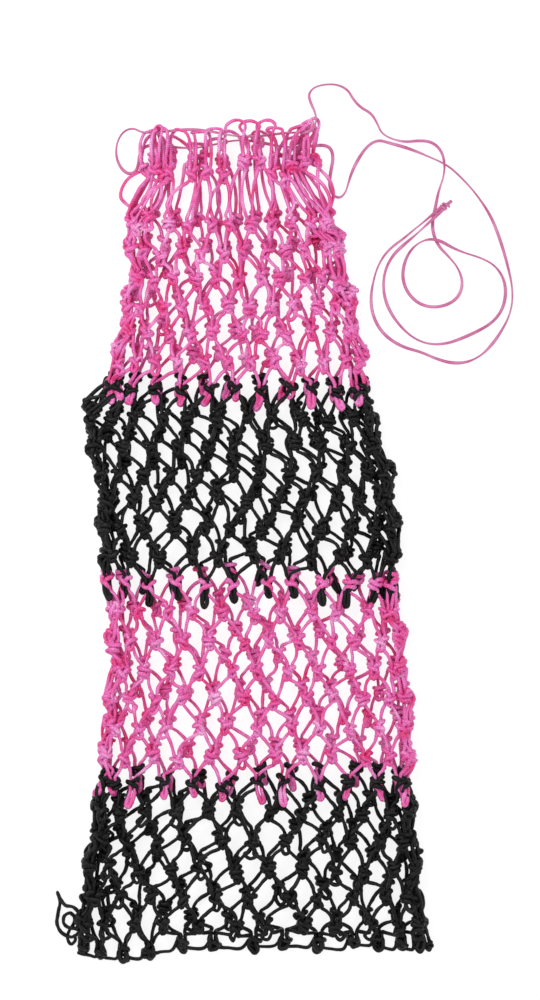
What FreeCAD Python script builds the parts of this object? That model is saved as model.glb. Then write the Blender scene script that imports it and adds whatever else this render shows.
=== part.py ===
"""Hay net: a knotted tube of twine in four colour bands, lying flat, with a drawstring in its mouth.

Millimetres. +Y runs from the laced hem to the mouth, +X to the side that the drawstring's tails leave,
+Z up from the surface that the net lies on. The origin is under the middle of the netting.
"""
import FreeCAD, Part

import math
import os

os.makedirs("parts", exist_ok=True)
doc = FreeCAD.newDocument("hay_net")
Vector = FreeCAD.Vector
ALONG = Vector(0, 1, 0)

# ---------------------------------------------------------------- driving sizes
SIZES = {
    "twine_diameter": 4.0,
    "cord_diameter": 4.0,
    "meshes_round": 26,
    "knot_width": 11.6,
    "knot_height": 8.8,
    "knot_length": 13.0,
    "back_knot_z": 5.2,
    "front_knot_z": 22.2,
    "mouth_knot_y": 449.0,
    "long_mesh_row": 66.0,
    "edge_knot_gap": 12.6,
    "layer_skew": 6.0,
    "front_run_y": 484.0,
    "front_run_z": 27.0,
    "front_run_start": -122.0,
    "front_run_length": 178.0,
    "back_run_y": 472.0,
    "back_run_z": 7.0,
    "back_run_start": -118.0,
    "back_run_length": 198.0,
    "hem_knot_z": 7.4,
    "hem_knot_height": 13.2,
    "end_knot_length": 20.0,
    "end_knot_width": 11.0,
    "end_knot_height": 8.6,
    "stray_knot_size": 9.0,
    "fit_gap": 0.3,
    "centre_x": 4.5,
    "centre_y": -0.3,
}
sheet = doc.addObject("Spreadsheet::Sheet", "sizes")
for row_number, (alias, value) in enumerate(SIZES.items(), start=1):
    sheet.set(f"A{row_number}", alias)
    sheet.set(f"B{row_number}", str(value))
    sheet.setAlias(f"B{row_number}", alias)
doc.recompute()


def size(alias):
    return float(sheet.get(alias))


TWINE_R = size("twine_diameter") / 2
CORD_R = size("cord_diameter") / 2
ROUND = int(size("meshes_round"))
ACROSS = ROUND // 2
KNOT_HALF = size("knot_length") / 2
FIT = size("fit_gap")
MIDDLE_Z = (size("back_knot_z") + size("front_knot_z")) / 2
HALF_GAP_Z = (size("front_knot_z") - size("back_knot_z")) / 2
FOOT_X = 2.6  # a leg leaves its knot this far beside the knot's middle
FOOT_Z = 2.25  # and this far above or below it, round a side fold
FOLD_SHARE = 6 / ROUND  # the two layers come together over this share of half the width
UNEVEN_X = 0.2  # share of the free space beside a knot by which hand-tied knots stray
UNEVEN_Y = 2.4
HEM_FOOT = 3.0  # the last legs enter a hem knot this far beside, and above or below, its middle
SCALLOP_FOOT = 3.4

# colour bands from the mouth down: name, rows of knots, spacing of the rows
BANDS = (
    ("upper_pink", 7, 33.0),
    ("upper_black", 7, 33.0),
    ("lower_pink", 7, 34.0),
    ("lower_black", 6, 34.0),
)

# outermost knots on the left and right side folds, down the net: y, left x, right x
SIDES = (
    (449, -127, 77),
    (383, -151, 96),
    (311, -146, 113),
    (215, -164, 132),
    (143, -198, 145),
    (88, -184, 163),
    (-13, -182, 175),
    (-46, -176, 168),
    (-148, -168, 183),
    (-216, -177, 190),
    (-284, -181, 188),
    (-386, -198, 196),
    (-488, -209, 205),
)

# knots of the back layer that bear on the surface: row and column
BEARING_KNOTS = [(row, column) for row in (1, 9, 17, 25) for column in (15, 19, 23)]

parts = []


def keep(part, label):
    """Names a sub-part and stands it in the row frame."""
    part.Label = label
    moved = FreeCAD.Placement(Vector(size("centre_x"), size("centre_y"), 0), FreeCAD.Rotation())
    part.Placement = moved.multiply(part.Placement)
    parts.append(part)


def keep_shape(label, solids):
    """A sub-part whose shape is worked out here, as a group of separate solids or one solid."""
    part = doc.addObject("Part::Feature", label)
    part.Shape = solids[0] if len(solids) == 1 else Part.makeCompound(solids)
    keep(part, label)


# ---------------------------------------------------------------- rows of knots
def sides_at(y):
    """Left and right fold at height y, on straight lines between the rows of SIDES."""
    for (y0, left0, right0), (y1, left1, right1) in zip(SIDES, SIDES[1:]):
        if y >= y1:
            share = min(max((y0 - y) / (y0 - y1), 0.0), 1.0)
            return left0 + share * (left1 - left0), right0 + share * (right1 - right0)
    return SIDES[-1][1], SIDES[-1][2]


def row_heights():
    """Height along the net of each row of knots, from the mouth down, and the row's band."""
    rows = []
    y = size("mouth_knot_y")
    for band, count, pitch in BANDS:
        for number in range(count):
            rows.append((y, band, number + 1))
            y -= size("long_mesh_row") if len(rows) == 1 else pitch
    return rows, y


ROWS, HEM_Y = row_heights()


def wobble(row, column, phase):
    """An uneven but repeatable share from -1 to 1, for knots that were tied by hand."""
    return 0.6 * math.sin(2.3 * row + 3.7 * column + phase) + 0.4 * math.sin(5.1 * row - 1.9 * column)


def knot_place(row, column):
    """Middle of a knot. Columns count round the tube from the left fold, over the front, and back."""
    column %= ROUND
    y = ROWS[row][0] if row < len(ROWS) else HEM_Y
    turn = (column + 0.5 * (row % 2)) / ROUND
    front = turn <= 0.5
    across = 4 * turn - 1 if front else 3 - 4 * turn
    left, right = sides_at(y)
    half = (right - left) / 2
    step = half * 4 / ROUND
    bunch = max(0.0, 1 - size("edge_knot_gap") / step)
    share = (1 - bunch) * across + bunch * math.sin(math.pi * across / 2)
    from_fold = min(1.0, (1 - abs(across)) / FOLD_SHARE)
    lift = math.sqrt(1 - (1 - from_fold) ** 2) * (1 if front else -1)
    slack = max(0.0, step * ((1 - bunch) + bunch * math.pi / 2) - size("edge_knot_gap") - 1)
    free = math.cos(math.pi * across / 2) ** 2 if row > 0 else 0.0
    x = (left + right) / 2 + half * share + UNEVEN_X * slack * free * wobble(row, column, 0.0)
    y += -size("layer_skew") * lift + UNEVEN_Y * free * wobble(row, column, 1.4)
    z = MIDDLE_Z + HALF_GAP_Z * lift
    if (row, column) in BEARING_KNOTS:
        z = size("knot_height") / 2
    return Vector(x, y, z)


def foot(row, column, side, end):
    """Where a leg meets a knot: side +1 is on round the tube, end +1 is the knot's upper face."""
    here = knot_place(row, column)
    along = knot_place(row, column + 1) - knot_place(row, column - 1)
    along.y = 0
    along.normalize()
    return Vector(
        here.x + side * FOOT_X * along.x, here.y + end * KNOT_HALF, here.z + side * FOOT_Z * along.z
    )


def knot(place, height):
    """A knot as a short bar with an oval section and flat ends, which the legs meet."""
    across = size("knot_width") / 2
    up = height / 2
    start = place - ALONG * KNOT_HALF
    wide, narrow = (Vector(across, 0, 0), Vector(0, 0, up))
    if up > across:
        wide, narrow = narrow, wide
    oval = Part.Ellipse(start + wide, start + narrow, start)
    return Part.Face(Part.Wire(oval.toShape())).extrude(ALONG * (2 * KNOT_HALF))


def leg(top, bottom):
    """One straight leg of twine between two flat knot faces."""
    run = bottom - top
    lean = Vector(run.x, 0, run.z)
    stretch = run.Length / abs(run.y)
    if lean.Length < 0.05:
        rim = Part.Circle(top, ALONG, TWINE_R)
    else:
        lean.normalize()
        beside = lean.cross(ALONG)
        rim = Part.Ellipse(top + lean * (TWINE_R * stretch), top + beside * TWINE_R, top)
    return Part.Face(Part.Wire(rim.toShape())).extrude(run)


def legs_below(row, column):
    """The two legs that hang from a knot to the next row."""
    outward = column if row % 2 == 0 else column + 1
    back = outward - 1
    return [
        leg(foot(row, column, 1, -1), foot(row + 1, outward, -1, 1)),
        leg(foot(row, column, -1, -1), foot(row + 1, back, 1, 1)),
    ]


def make_courses():
    for row, (_, band, number) in enumerate(ROWS):
        solids = []
        for column in range(ROUND):
            solids.append(knot(knot_place(row, column), size("knot_height")))
            if row < len(ROWS) - 1:
                solids += legs_below(row, column)
        if row == len(ROWS) - 1:
            solids += legs_to_hem(row)
        keep_shape(f"{band}_course_{number}", solids)


# ---------------------------------------------------------------- twine that bends
def strand(points, radius, first_face=None, last_face=None):
    """Straight pieces of round twine through the points, mitred where they meet, each its own solid."""
    solids = []
    directions = [(b - a).normalize() for a, b in zip(points, points[1:])]
    normals = [first_face or directions[0]]
    normals += [(a + b).normalize() for a, b in zip(directions, directions[1:])]
    normals.append(last_face or directions[-1])
    reach = 3 * radius  # each bar starts this much too long, and a block wider than it cuts it off
    wide = 8 * reach
    for index, along in enumerate(directions):
        start, end = points[index], points[index + 1]
        length = (end - start).Length + 2 * reach
        piece = Part.makeCylinder(radius, length, start - along * reach, along)
        for corner, normal, sign in ((start, normals[index], -1), (end, normals[index + 1], 1)):
            face_way = normal if normal.dot(along) > 0 else normal * -1
            block = Part.makeBox(wide, wide, wide, Vector(-wide / 2, -wide / 2, 0))
            turn = FreeCAD.Rotation(Vector(0, 0, 1), face_way * sign)
            block.Placement = FreeCAD.Placement(corner, turn)
            piece = piece.cut(block)
        solids.append(piece.Solids[0])
    return solids


def tube(points, radius):
    """A cord along straight runs joined by tangent arcs, each as large as its two runs allow."""
    edges = []
    radii = []
    at = points[0]
    for before, corner, after in zip(points, points[1:], points[2:]):
        way_in = (corner - before).normalize()
        way_out = (after - corner).normalize()
        turn = way_in.getAngle(way_out)
        cut = 0.45 * min((corner - before).Length, (after - corner).Length)
        radii.append(cut / math.tan(turn / 2))
        start = corner - way_in * cut
        end = corner + way_out * cut
        bisector = (way_out - way_in).normalize()
        depth = radii[-1] * (1 / math.cos(turn / 2) - 1)
        edges.append(Part.LineSegment(at, start).toShape())
        edges.append(Part.Arc(start, corner + bisector * depth, end).toShape())
        at = end
    edges.append(Part.LineSegment(at, points[-1]).toShape())
    path = Part.Wire(edges)
    rim = Part.Wire(Part.Circle(points[0], points[1] - points[0], radius).toShape())
    solid = path.makePipeShell([rim], True, True)
    wanted = math.pi * radius**2 * path.Length
    print(
        f"tube: length {path.Length:.0f}, volume over section x length {solid.Volume / wanted:.4f}, "
        f"tightest radius {min(radii):.1f}, radii {[round(r) for r in radii]}"
    )
    return solid


# ---------------------------------------------------------------- hem
def hem_knot_place(column):
    """One lacing knot closes the front and the back column above it."""
    front = knot_place(len(ROWS), column)
    return Vector(front.x, HEM_Y + 2.0 * wobble(3, column, 0.4), size("hem_knot_z"))


def legs_to_hem(row):
    """The last legs: those of the front enter a hem knot high, those of the back low."""
    solids = []
    for column in range(ROUND):
        for side, target in ((1, column), (-1, column - 1)):
            target %= ROUND
            front = target < ACROSS
            hem = hem_knot_place(target if front else ROUND - 1 - target)
            towards = (-1 if side == 1 else 1) * (1 if front else -1)
            layer = HEM_FOOT if front else -HEM_FOOT
            end = Vector(hem.x + towards * HEM_FOOT, hem.y + KNOT_HALF, hem.z + layer)
            solids.append(leg(foot(row, column, side, -1), end))
    return solids


def make_hem():
    knots = [knot(hem_knot_place(column), size("hem_knot_height")) for column in range(ACROSS)]
    keep_shape("hem_lacing_knots", knots)
    scallops = []
    for column in range(ACROSS - 1):
        left = hem_knot_place(column) + Vector(SCALLOP_FOOT, -KNOT_HALF, -HEM_FOOT)
        right = hem_knot_place(column + 1) + Vector(-SCALLOP_FOOT, -KNOT_HALF, -HEM_FOOT)
        drop = 7.5 + 2.0 * wobble(7, column, 0.8)
        low = [left * (1 - share) + right * share for share in (0.14, 0.86)]
        if right.x - left.x < 4 * size("twine_diameter"):
            low = [(left + right) * 0.5]
        for point in low:
            point.y = (left.y + right.y) / 2 - drop
            point.z -= 1.0
        scallops += strand([left, *low, right], TWINE_R, ALONG, ALONG)
    keep_shape("hem_lacing_twine", scallops)


def make_stray_loops():
    """Slack twine that stands out at the lower left corner, and the lacing's knotted end at the right."""
    fold = knot_place(26, 0)
    points = [
        Vector(fold.x - 3.7, fold.y + KNOT_HALF, fold.z),
        Vector(fold.x - 8, fold.y + 16, 13),
        Vector(fold.x - 22, fold.y + 21, 9),
        Vector(fold.x - 31, fold.y + 9, 6),
        Vector(fold.x - 30, fold.y - 8, 5),
        Vector(fold.x - 21, fold.y - 19, 6),
        Vector(fold.x - 9, fold.y - 17, 10),
        Vector(fold.x - 3.7, fold.y - KNOT_HALF, fold.z),
    ]
    keep_shape("corner_loop", strand(points, TWINE_R, ALONG, ALONG))
    corner = hem_knot_place(0)
    points = [
        Vector(corner.x - FOOT_X, corner.y - KNOT_HALF, 4.4),
        Vector(corner.x - 7, corner.y - 13, 3),
        Vector(corner.x - 19, corner.y - 12, 2.4),
        Vector(corner.x - 27, corner.y - 2, 2.4),
        Vector(corner.x - 23, corner.y + 11, 2.4),
        Vector(corner.x - 12, corner.y + 15, 2.6),
    ]
    keep_shape("corner_end", strand(points, TWINE_R, ALONG))
    last = hem_knot_place(ACROSS - 1)
    start = Vector(last.x + FOOT_X, last.y - KNOT_HALF, 4.4)
    points = [start, start + Vector(3, -5, -1.2), start + Vector(10, -9, -1.4), start + Vector(15, -2, -1.4)]
    keep_shape("lacing_end", strand(points, TWINE_R, ALONG))
    bead = doc.addObject("Part::Ellipsoid", "lacing_end_knot")
    bead.setExpression("Radius1", "sizes.stray_knot_size / 2 - 0.4")
    bead.setExpression("Radius2", "sizes.stray_knot_size / 2 + 2")
    bead.setExpression("Radius3", "sizes.stray_knot_size / 2")
    tip = points[-1] + (points[-1] - points[-2]).normalize() * (size("stray_knot_size") / 2 + 2.4)
    bead.Placement = FreeCAD.Placement(Vector(tip.x, tip.y, 4.6), FreeCAD.Rotation(Vector(0, 0, 1), 54))
    keep(bead, "lacing_end_knot")


# ---------------------------------------------------------------- mouth loops
UNTHREADED = (ACROSS - 2, ACROSS - 1)  # the two front loops that the cord passes over
LOOP_REACH = CORD_R + TWINE_R + 0.8  # a loop's two sides stand this far above and below the cord
LOOP_BULGE = 1.6  # a loop widens by this much on each side
FLAT_LOOP_BULGE = -1.4  # and an unthreaded one narrows, as its neighbour leans over it
FLAT_LOOP_DROP = 0.6
FRONT_FOOT_DROP = 1.6  # feet are moved so that neighbouring loops leave their knot apart
BACK_FOOT_RISE = 2.4
FAR_FOOT_SHIFT = 2.8


def mouth_loop(column, front):
    """One loop of twine above two knots of the first row. It leans, so that the cord goes through it."""
    if front:
        left = foot(0, column, 1, 1)
        right = foot(0, column + 1, -1, 1)
        run_y, run_z = size("front_run_y"), size("front_run_z")
        tilt = -1
    else:
        left = foot(0, ROUND - column, -1, 1)
        right = foot(0, ROUND - column - 1, 1, 1)
        run_y, run_z = size("back_run_y"), size("back_run_z")
        tilt = 1
    left_z = run_z + tilt * LOOP_REACH
    right_z = run_z - tilt * LOOP_REACH
    bulge = LOOP_BULGE
    if front and column in UNTHREADED:
        left_z = right_z = run_z - LOOP_REACH - FLAT_LOOP_DROP
        bulge = FLAT_LOOP_BULGE
    if column > 0:
        left.z += -FRONT_FOOT_DROP if front else BACK_FOOT_RISE
    if column < ACROSS - 1:
        right.z -= tilt * FAR_FOOT_SHIFT
    skew = -size("layer_skew") if front else size("layer_skew")
    row_top = size("mouth_knot_y") + skew + KNOT_HALF + FIT
    left.y = max(left.y + FIT, row_top)
    right.y = max(right.y + FIT, row_top)
    middle = (left.x + right.x) / 2
    half = (right.x - left.x) / 2
    lean = 2.5 * wobble(5, column, 0.2 if front else 1.1) if bulge > 0 else 0.0
    top = run_y + 17 + 5 * wobble(2, column, 0.7 if front else 2.2)
    points = [
        left,
        Vector(left.x - bulge, run_y - 4, left_z),
        Vector(left.x - bulge + lean * 0.4, run_y + 7, left_z),
        Vector(middle - half * 0.45 + lean, top, (3 * left_z + right_z) / 4),
        Vector(middle + half * 0.45 + lean, top, (left_z + 3 * right_z) / 4),
        Vector(right.x + bulge + lean * 0.4, run_y + 7, right_z),
        Vector(right.x + bulge, run_y - 4, right_z),
        right,
    ]
    return strand(points, TWINE_R, ALONG, ALONG)


def make_mouth_loops():
    for column in range(ACROSS):
        keep_shape(f"mouth_loops_{column + 1}", mouth_loop(column, True) + mouth_loop(column, False))


# ---------------------------------------------------------------- drawstring
# route of the longer tail, from the end of the front run to the end knot
LONG_TAIL = (
    (56, 484, 27), (65, 484, 27), (72.5, 489, 27), (75.5, 498, 27), (74, 509, 26),
    (69, 520, 20), (66, 532, 12),
    (73, 542, 5), (87, 546, 2.4), (102, 545.5, 2.2), (114, 539, 2.2), (120, 528, 2.2),
    (129, 518, 2.2), (142, 511, 2.2), (149, 499, 2.2), (154, 487, 2.2), (167, 480, 2.2),
    (183, 476.5, 2.2), (199, 478.5, 2.2), (214, 477, 2.2), (225, 468, 2.2), (230, 453, 2.2),
    (229, 436, 2.2), (222.5, 418, 2.2), (219, 400, 2.2), (215, 382, 2.2), (216, 366, 2.2),
    (223, 351, 2.2), (234, 340, 2.2), (246, 326, 2.2), (252, 308, 2.2), (247, 291, 2.2),
    (233, 281, 2.2), (215, 278, 2.2), (198, 283, 2.2), (185, 296, 2.2), (179, 313, 2.2),
    (181, 331, 2.2), (188, 346, 2.6), (199, 356, 5.5), (212, 360, 10), (225, 357, 10),
    (238, 350, 5), (254, 343.5, 2.4), (273, 338, 2.2), (290, 329, 2.2), (301, 313, 2.2),
    (303.5, 294, 2.2), (299, 275, 2.2), (287, 260, 2.2), (270, 250, 2.2), (250, 241, 2.2),
    (231, 234.5, 2.2), (211, 234, 2.2), (193, 241, 2.2), (178, 254, 2.2), (166, 270, 2.2),
    (159, 288, 2.2), (158, 307, 2.2), (163, 325, 2.2), (173, 341, 2.2), (184, 354, 2.6),
    (195, 365, 5.5), (206, 375, 10), (218, 386, 10), (229, 396.5, 6.5),
)
# route of the shorter tail, from the end of the back run round the net's right side to the end knot
SHORT_TAIL = (
    (80, 472, 7), (88, 472, 7), (94.5, 466.5, 6.4), (96, 456, 5.6), (94, 445, 4.8), (92, 433.5, 4),
    (92, 422, 3.2), (96, 412, 2.6), (104.5, 409, 2.3), (111, 416, 2.2), (114.5, 428, 2.2),
    (119, 442, 2.2), (126.5, 457, 2.2), (137, 470, 2.2),
    (150, 476.5, 2.2), (165, 473.5, 2.2), (182, 469.5, 2.2), (199, 463, 3), (213, 457.5, 5.5),
    (224, 452, 10), (236, 445, 10), (248, 435, 5), (262, 421, 2.4), (275, 404, 2.2),
    (286, 386, 2.2), (294, 366, 2.2), (300.5, 346, 2.2), (306, 326, 2.2), (310.5, 306, 2.2),
    (311.5, 286, 2.2), (307, 267, 2.2), (298, 250, 2.2), (287, 234, 2.2), (273, 220, 2.2),
    (256, 212, 2.2), (237, 211.5, 2.2), (219, 217, 2.2), (201, 225, 2.2), (182, 230, 2.2),
    (165, 239, 2.2), (151, 253, 2.2), (143, 271, 2.2), (141, 290, 2.2), (144, 309, 2.2),
    (151, 327, 2.2), (160, 343, 2.2), (170, 356, 2.2), (181, 366, 3), (192, 376, 6),
    (203, 386, 10), (215, 396, 10), (226, 403, 6.5),
)
# slack turn outside the left fold, from the front run's end round to the back run's end
SLACK_TURN = (
    (-122, 484, 27), (-132, 484, 26.6), (-142, 490, 25), (-154, 487, 21), (-162, 475, 17),
    (-164, 460, 12), (-159.5, 446, 7.5), (-150, 437.5, 4.4), (-140.5, 440, 3.4), (-137, 450, 3.6),
    (-136, 461, 5), (-131.5, 469, 6.6), (-124.5, 472, 7), (-118, 472, 7),
)

END_KNOT_PLACE = Vector(234, 404, 5.4)
END_KNOT_TURN = 42


def make_drawstring():
    for name in ("front_run", "back_run"):
        run = doc.addObject("Part::Cylinder", name)
        run.setExpression("Radius", "sizes.cord_diameter / 2")
        run.setExpression("Height", f"sizes.{name}_length")
        start = Vector(size(f"{name}_start"), size(f"{name}_y"), size(f"{name}_z"))
        run.Placement = FreeCAD.Placement(start, FreeCAD.Rotation(Vector(0, 1, 0), 90))
        keep(run, f"drawstring_{name}")
    for label, route in (
        ("drawstring_slack_turn", SLACK_TURN),
        ("drawstring_long_tail", LONG_TAIL),
        ("drawstring_short_tail", SHORT_TAIL),
    ):
        keep_shape(label, [tube([Vector(*point) for point in route], CORD_R)])
    bead = doc.addObject("Part::Ellipsoid", "drawstring_end_knot")
    bead.setExpression("Radius2", "sizes.end_knot_length / 2")
    bead.setExpression("Radius3", "sizes.end_knot_width / 2")
    bead.setExpression("Radius1", "sizes.end_knot_height / 2")
    bead.Placement = FreeCAD.Placement(END_KNOT_PLACE, FreeCAD.Rotation(Vector(0, 0, 1), END_KNOT_TURN))
    keep(bead, "drawstring_end_knot")


make_courses()
make_hem()
make_stray_loops()
make_mouth_loops()
make_drawstring()
doc.recompute()

# ---------------------------------------------------------------- checks and export
for thing in doc.Objects:
    if "Invalid" in thing.State or "Error" in thing.State:
        raise RuntimeError(f"{thing.Label} didn't recompute: {thing.State}")
for part in parts:
    if part.Shape.isNull() or not part.Shape.isValid():
        raise RuntimeError(f"{part.Label} has no valid shape")
for part in parts:
    part.Shape.exportStep(f"parts/{part.Label}.step")

loose = ("drawstring_long_tail", "drawstring_short_tail", "drawstring_end_knot")
box = FreeCAD.BoundBox()
for part in parts:
    if part.Label not in loose:
        box.add(part.Shape.BoundBox)
print(f"{len(parts)} sub-parts, netting box x {box.XMin:.1f} {box.XMax:.1f}, "
      f"y {box.YMin:.1f} {box.YMax:.1f}, z {box.ZMin:.2f} {box.ZMax:.2f}")
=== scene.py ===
"""Looks of the hay net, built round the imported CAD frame. Metres, in the row frame."""

import math
import random

import bpy
import numpy as np
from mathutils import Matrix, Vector


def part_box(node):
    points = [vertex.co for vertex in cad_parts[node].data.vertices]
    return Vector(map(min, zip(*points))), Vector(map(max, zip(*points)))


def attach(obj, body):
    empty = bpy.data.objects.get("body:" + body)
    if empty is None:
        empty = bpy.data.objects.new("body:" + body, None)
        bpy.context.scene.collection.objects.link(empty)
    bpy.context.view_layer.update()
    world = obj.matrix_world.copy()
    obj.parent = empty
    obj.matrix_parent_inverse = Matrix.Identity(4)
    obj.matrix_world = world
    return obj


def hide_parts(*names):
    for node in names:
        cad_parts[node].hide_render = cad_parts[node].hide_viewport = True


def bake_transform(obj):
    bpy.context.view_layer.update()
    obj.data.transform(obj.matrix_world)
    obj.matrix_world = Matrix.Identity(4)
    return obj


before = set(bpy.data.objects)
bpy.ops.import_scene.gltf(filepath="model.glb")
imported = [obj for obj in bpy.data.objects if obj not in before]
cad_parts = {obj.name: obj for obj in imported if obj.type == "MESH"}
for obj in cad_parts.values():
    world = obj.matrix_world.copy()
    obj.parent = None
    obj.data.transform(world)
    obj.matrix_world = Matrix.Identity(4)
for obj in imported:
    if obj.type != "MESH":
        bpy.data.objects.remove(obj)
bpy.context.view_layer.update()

MM = 0.001
TWINE = 4.7 * MM
LEG = 0.97  # a stretched leg draws thinner than the twine
FAT = 1.24  # and the twine swells where a knot folds it
FULLNESS = {"twine_black": 1.07, "twine_pink": 0.97}  # the black twine is a little thicker
TWINE_STEP = 1.3 * MM  # from one section of a strand to the next
TWINE_SIDES = 7
CORD_WIDTH = 4.0 * MM
CORD_STEP = 1.5 * MM
CORD_SIDES = 10
UP = np.array([0.0, 1.0, 0.0])
ABOVE_FLOOR = 0.25 * MM
KNOT_ACROSS, KNOT_UP = 11.6, 13.0  # a CAD knot's size, in millimetres
COURSE_KNOT_DEPTH, HEM_KNOT_DEPTH = 8.8, 13.2
FOLD_DEPTH = 2 * MM  # a knot this near to mid-height lies in a side fold
BANDS = (("upper_pink", 7), ("upper_black", 7), ("lower_pink", 7), ("lower_black", 6))
COURSES = [f"{band}_course_{n + 1}" for band, count in BANDS for n in range(count)]
ROUND = 26
ACROSS = ROUND // 2


# ---------------------------------------------------------------- reading the frame
def islands(node):
    """Lowest and highest corner of each separate solid in a CAD node."""
    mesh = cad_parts[node].data
    co = np.zeros(len(mesh.vertices) * 3)
    mesh.vertices.foreach_get("co", co)
    co = co.reshape(-1, 3)
    _, same = np.unique(np.round(co, 6), axis=0, return_inverse=True)
    same = same.ravel()
    owner = np.arange(same.max() + 1)

    def root(i):
        while owner[i] != i:
            owner[i] = owner[owner[i]]
            i = owner[i]
        return i

    pairs = np.zeros(len(mesh.edges) * 2, int)
    mesh.edges.foreach_get("vertices", pairs)
    for a, b in same[pairs.reshape(-1, 2)]:
        ra, rb = root(a), root(b)
        if ra != rb:
            owner[ra] = rb
    groups = np.array([root(i) for i in same])
    return [(co[groups == g].min(0), co[groups == g].max(0)) for g in np.unique(groups)]


def knots_in(node, depth):
    """Middles of a node's knots, told from its legs by their size."""
    size = np.array([KNOT_ACROSS, KNOT_UP, depth]) * MM
    found = []
    for low, high in islands(node):
        if np.all(np.abs(high - low - size) < 0.5 * MM):
            found.append((low + high) / 2)
    return found


def round_the_tube(knots):
    """One course's knots in order round the tube: left fold, front, right fold, back."""
    middle_z = (min(k[2] for k in knots) + max(k[2] for k in knots)) / 2
    rightwards = sorted(knots, key=lambda k: k[0])
    folds = [k for k in rightwards if abs(k[2] - middle_z) < FOLD_DEPTH]
    front = [k for k in rightwards if k[2] >= middle_z + FOLD_DEPTH]
    back = [k for k in reversed(rightwards) if k[2] <= middle_z - FOLD_DEPTH]
    return np.array(folds[:1] + front + folds[1:] + back)


KNOTS = [round_the_tube(knots_in(course, COURSE_KNOT_DEPTH)) for course in COURSES]
# how far each hem knot lies above its CAD place, in millimetres: the hem rises to the right
HEM_RISE = (0, -3, -4, -1, 4, 7, 8, 9, 9, 9, 9, 8, 6)
HEM_KNOTS = sorted(knots_in("hem_lacing_knots", HEM_KNOT_DEPTH), key=lambda k: k[0])
HEM = [knot + UP * rise * MM for knot, rise in zip(HEM_KNOTS, HEM_RISE)]


# ---------------------------------------------------------------- strands as meshes
def smooth_line(controls, spacing, closed=False):
    """A centripetal Catmull-Rom line through the control points, sampled about every spacing.

    A fourth column, where there is one, is the twine's thickness there, smoothed with the rest.
    """
    pts = np.asarray(controls, float)
    if closed:
        pts = np.vstack([pts[-1], pts, pts[0], pts[1]])
    else:
        pts = np.vstack([2 * pts[0] - pts[1], pts, 2 * pts[-1] - pts[-2]])
    out = []
    for p0, p1, p2, p3 in zip(pts, pts[1:], pts[2:], pts[3:]):
        gaps = [
            max(np.linalg.norm((b - a)[:3]), 1e-6) for a, b in ((p0, p1), (p1, p2), (p2, p3))
        ]
        t1 = gaps[0] ** 0.5
        t2 = t1 + gaps[1] ** 0.5
        t3 = t2 + gaps[2] ** 0.5
        count = max(2, int(math.ceil(gaps[1] / spacing)))
        t = np.linspace(t1, t2, count, endpoint=False)[:, None]
        a1 = (t1 - t) / t1 * p0 + t / t1 * p1
        a2 = (t2 - t) / (t2 - t1) * p1 + (t - t1) / (t2 - t1) * p2
        a3 = (t3 - t) / (t3 - t2) * p2 + (t - t2) / (t3 - t2) * p3
        b1 = (t2 - t) / t2 * a1 + t / t2 * a2
        b2 = (t3 - t) / (t3 - t1) * a2 + (t - t1) / (t3 - t1) * a3
        out.append((t2 - t) / (t2 - t1) * b1 + (t - t1) / (t2 - t1) * b2)
    line = np.vstack(out)
    return line if closed else np.vstack([line, pts[-2]])


def sections(line, closed):
    """Tangent and two cross directions at each point, turned as little as can be on the way."""
    ahead = np.roll(line, -1, 0) - line
    behind = line - np.roll(line, 1, 0)
    if not closed:
        ahead[-1], behind[0] = behind[-1], ahead[0]
    tangent = ahead + behind
    tangent /= np.maximum(np.linalg.norm(tangent, axis=1), 1e-12)[:, None]
    side = np.zeros_like(line)
    start = np.cross(tangent[0], [0.0, 0.0, 1.0])
    if np.linalg.norm(start) < 0.1:
        start = np.cross(tangent[0], [1.0, 0.0, 0.0])
    side[0] = start / np.linalg.norm(start)
    for i in range(1, len(line)):
        s = side[i - 1] - tangent[i] * np.dot(side[i - 1], tangent[i])
        side[i] = s / max(np.linalg.norm(s), 1e-12)
    return tangent, side, np.cross(tangent, side)


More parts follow.
